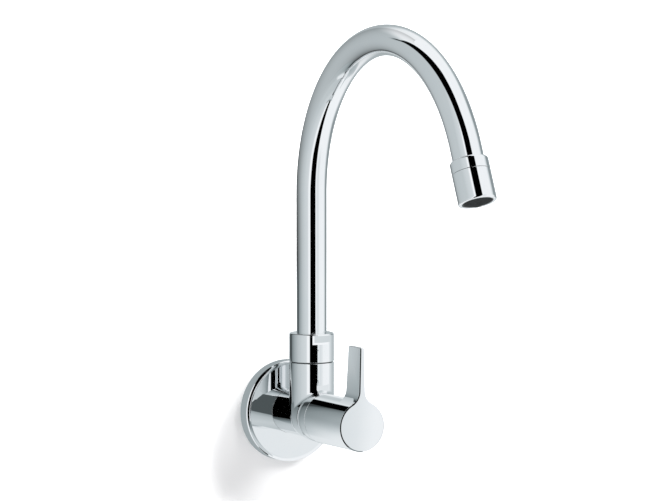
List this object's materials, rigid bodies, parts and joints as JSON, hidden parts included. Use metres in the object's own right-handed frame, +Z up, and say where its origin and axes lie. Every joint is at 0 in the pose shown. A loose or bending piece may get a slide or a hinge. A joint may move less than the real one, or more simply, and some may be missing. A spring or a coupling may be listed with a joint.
{
  "type": "wall faucet",
  "caption": "Wall-mounted faucet with a swivelling arch spout, a screen aerator and a round-hubbed upright lever that turns a quarter-turn ceramic headpart.",
  "frame": {"origin": "centre of the inlet thread at the plane of the finished wall", "axes": "+X to the right for a person facing the wall, +Y into the wall along the inlet, +Z up along the spout's longest reach"},
  "size_m": [0.074, 0.3027, 0.3233],
  "materials": {
    "chrome": "polished chrome plate",
    "rubber": "moulded black rubber",
    "brass": "turned brass",
    "steel": "stainless steel",
    "ceramic": "lapped white ceramic",
    "white_plastic": "natural acetal",
    "black_plastic": "satin black plastic",
    "grey_plastic": "satin grey plastic",
    "foam": "closed-cell foam"
  },
  "bodies": {
    "body": {"wall_flange": "chrome", "flange_o_ring": "rubber", "flange_gasket": "foam", "valve_body": "chrome", "inlet_nipple": "brass", "nipple_o_ring": "rubber", "inlet_strainer": "steel", "headpart_housing": "brass", "headpart_o_ring": "rubber", "base_seal": "rubber", "fixed_disc": "ceramic", "slip_ring": "white_plastic", "handle_guide_ring": "white_plastic", "neck_o_rings": "rubber", "swivel_washer": "black_plastic"},
    "handle": {"lever_handle": "chrome", "spline_adapter": "white_plastic", "handle_grub_screw": "steel", "handle_screw_plug": "grey_plastic", "headpart_spindle": "brass", "spindle_o_rings": "rubber", "spindle_circlip": "steel", "moving_disc": "ceramic"},
    "spout": {"swivel_collar": "chrome", "collar_grub_screw": "steel", "spout_tube": "chrome", "spout_end_ring": "chrome", "aerator_housing": "chrome", "aerator_washer": "rubber", "aerator_insert": "black_plastic", "aerator_screen": "black_plastic"}
  },
  "joints": [
    {"name": "handle_turn", "type": "hinge", "parent": "body", "child": "handle", "pos_m": [0, -0.09, 0], "axis": [0, -1, 0], "range_deg": [0, 90]},
    {"name": "spout_swivel", "type": "hinge", "parent": "body", "child": "spout", "pos_m": [0, -0.04, 0.045], "axis": [0, 0, 1], "range_deg": [-90, 90]}
  ]
}
